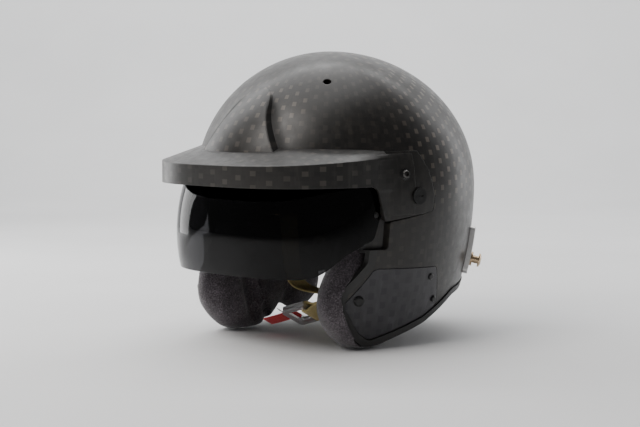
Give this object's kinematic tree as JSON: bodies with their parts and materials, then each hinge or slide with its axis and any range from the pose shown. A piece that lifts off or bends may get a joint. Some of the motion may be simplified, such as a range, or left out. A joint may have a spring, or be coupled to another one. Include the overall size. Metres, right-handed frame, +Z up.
{
  "type": "open-face racing helmet",
  "caption": "Open-face racing helmet with a peak, a short tilting tinted visor, bulging cheek pads, a D-ring chin strap and head restraint posts.",
  "frame": {"origin": "centre of the bounding box in plan, on the plane the cheek pads stand on", "axes": "+Z up, the face looks along -Y, +X is the wearer's left"},
  "size_m": [0.2522, 0.3, 0.2605],
  "materials": {
    "shell": "satin woven carbon composite under clear lacquer",
    "trim": "matt extruded rubber",
    "foam": "expanded bead foam",
    "lining": "knitted melange lining over soft foam",
    "hardware_black": "black anodised, satin",
    "hardware_steel": "machined and polished",
    "nylon": "turned black nylon",
    "lens": "smoke-tinted polycarbonate, clear hard coat",
    "anchor_alloy": "clear anodised, satin",
    "post_bronze": "machined bronze",
    "webbing": "woven aramid tape",
    "tab_red": "woven red pull tab",
    "tab_white": "white tape"
  },
  "bodies": {
    "helmet": {"outer_shell": "shell", "edge_trim": "trim", "energy_liner": "foam", "crown_lining": "lining", "neck_roll": "lining", "cheek_pad_left": "lining", "cheek_pad_right": "lining", "cheek_pad_studs": "nylon", "peak": "shell", "peak_screws": "hardware_steel", "peak_screw_cups": "hardware_black", "peak_spacers": "nylon", "visor_pivot_bushes": "nylon", "visor_pivot_screws": "hardware_black", "cover_left": "shell", "cover_right": "shell", "cover_screws": "hardware_black", "anchor_base_left": "anchor_alloy", "anchor_base_right": "anchor_alloy", "anchor_posts": "post_bronze", "anchor_nuts": "hardware_steel", "strap_left": "webbing", "strap_right": "webbing", "strap_plates": "hardware_steel", "strap_rivets": "hardware_steel"},
    "visor": {"visor": "lens", "visor_studs": "hardware_black"},
    "upper_ring": {"ring_upper": "hardware_steel", "pull_tab": "tab_red", "tab_tape": "tab_white"},
    "lower_ring": {"ring_lower": "hardware_steel"}
  },
  "joints": [
    {"name": "visor_tilt", "type": "hinge", "parent": "helmet", "child": "visor", "pos_m": [0, -0.017, 0.134], "axis": [-1, 0, 0], "range_deg": [0, 10]},
    {"name": "upper_ring_swing", "type": "hinge", "parent": "helmet", "child": "upper_ring", "pos_m": [0.01635, -0.03816, 0.02758], "axis": [0, 0.8829, -0.4695], "range_deg": [0, 30]},
    {"name": "lower_ring_swing", "type": "hinge", "parent": "helmet", "child": "lower_ring", "pos_m": [0.01765, -0.03984, 0.02442], "axis": [0, 0.8829, -0.4695], "range_deg": [-30, 0]}
  ]
}
